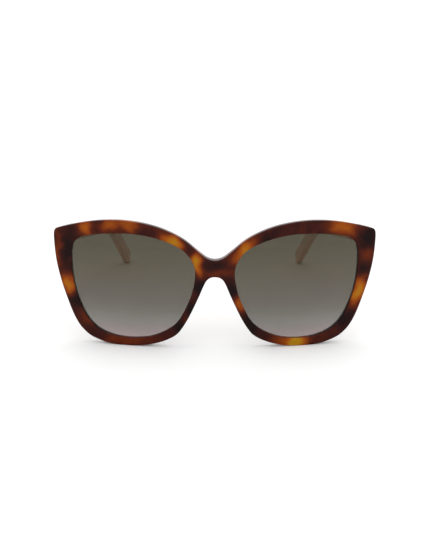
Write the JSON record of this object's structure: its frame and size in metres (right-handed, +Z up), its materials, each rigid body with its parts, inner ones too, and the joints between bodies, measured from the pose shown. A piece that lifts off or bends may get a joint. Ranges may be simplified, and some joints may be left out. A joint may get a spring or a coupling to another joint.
{
  "type": "cat eye sunglasses",
  "caption": "Cat-eye sunglasses: moulded acetate front with upswept corners, tinted snap-in lenses and slim folding temples on screw hinges.",
  "frame": {"origin": "under the middle of the object's box, on the table it stands on", "axes": "+X to the wearer's left, -Y out of the front of the lenses, +Y back along the temples, +Z up"},
  "size_m": [0.1446, 0.1468, 0.0582],
  "materials": {
    "front_acetate": "polished tortoiseshell acetate, near-black and red-brown with amber patches",
    "lens_tint": "grey-brown tint, darker at the top and lighter at the bottom",
    "temple_acetate": "polished pale champagne acetate",
    "hinge_metal": "satin gold plating",
    "pin_metal": "satin gold plating",
    "core_wire": "drawn nickel-silver wire, gold-toned"
  },
  "bodies": {
    "front": {"front_frame": "front_acetate", "left_lens": "lens_tint", "left_nose_pad": "front_acetate", "left_front_hinge": "hinge_metal", "left_hinge_screw": "hinge_metal", "left_front_pin_1": "pin_metal", "left_front_pin_2": "pin_metal", "right_lens": "lens_tint", "right_nose_pad": "front_acetate", "right_front_hinge": "hinge_metal", "right_hinge_screw": "hinge_metal", "right_front_pin_1": "pin_metal", "right_front_pin_2": "pin_metal"},
    "left_temple_arm": {"left_temple": "temple_acetate", "left_temple_hinge": "hinge_metal", "left_temple_pin_1": "pin_metal", "left_temple_pin_2": "pin_metal", "left_temple_core_wire": "core_wire"},
    "right_temple_arm": {"right_temple": "temple_acetate", "right_temple_hinge": "hinge_metal", "right_temple_pin_1": "pin_metal", "right_temple_pin_2": "pin_metal", "right_temple_core_wire": "core_wire"}
  },
  "joints": [
    {"name": "left_temple_fold", "type": "hinge", "parent": "front", "child": "left_temple_arm", "pos_m": [0.06575, -0.05362, 0.04877], "axis": [0, 0, 1], "range_deg": [0, 83]},
    {"name": "right_temple_fold", "type": "hinge", "parent": "front", "child": "right_temple_arm", "pos_m": [-0.06575, -0.05362, 0.04877], "axis": [0, 0, -1], "range_deg": [0, 78]}
  ]
}
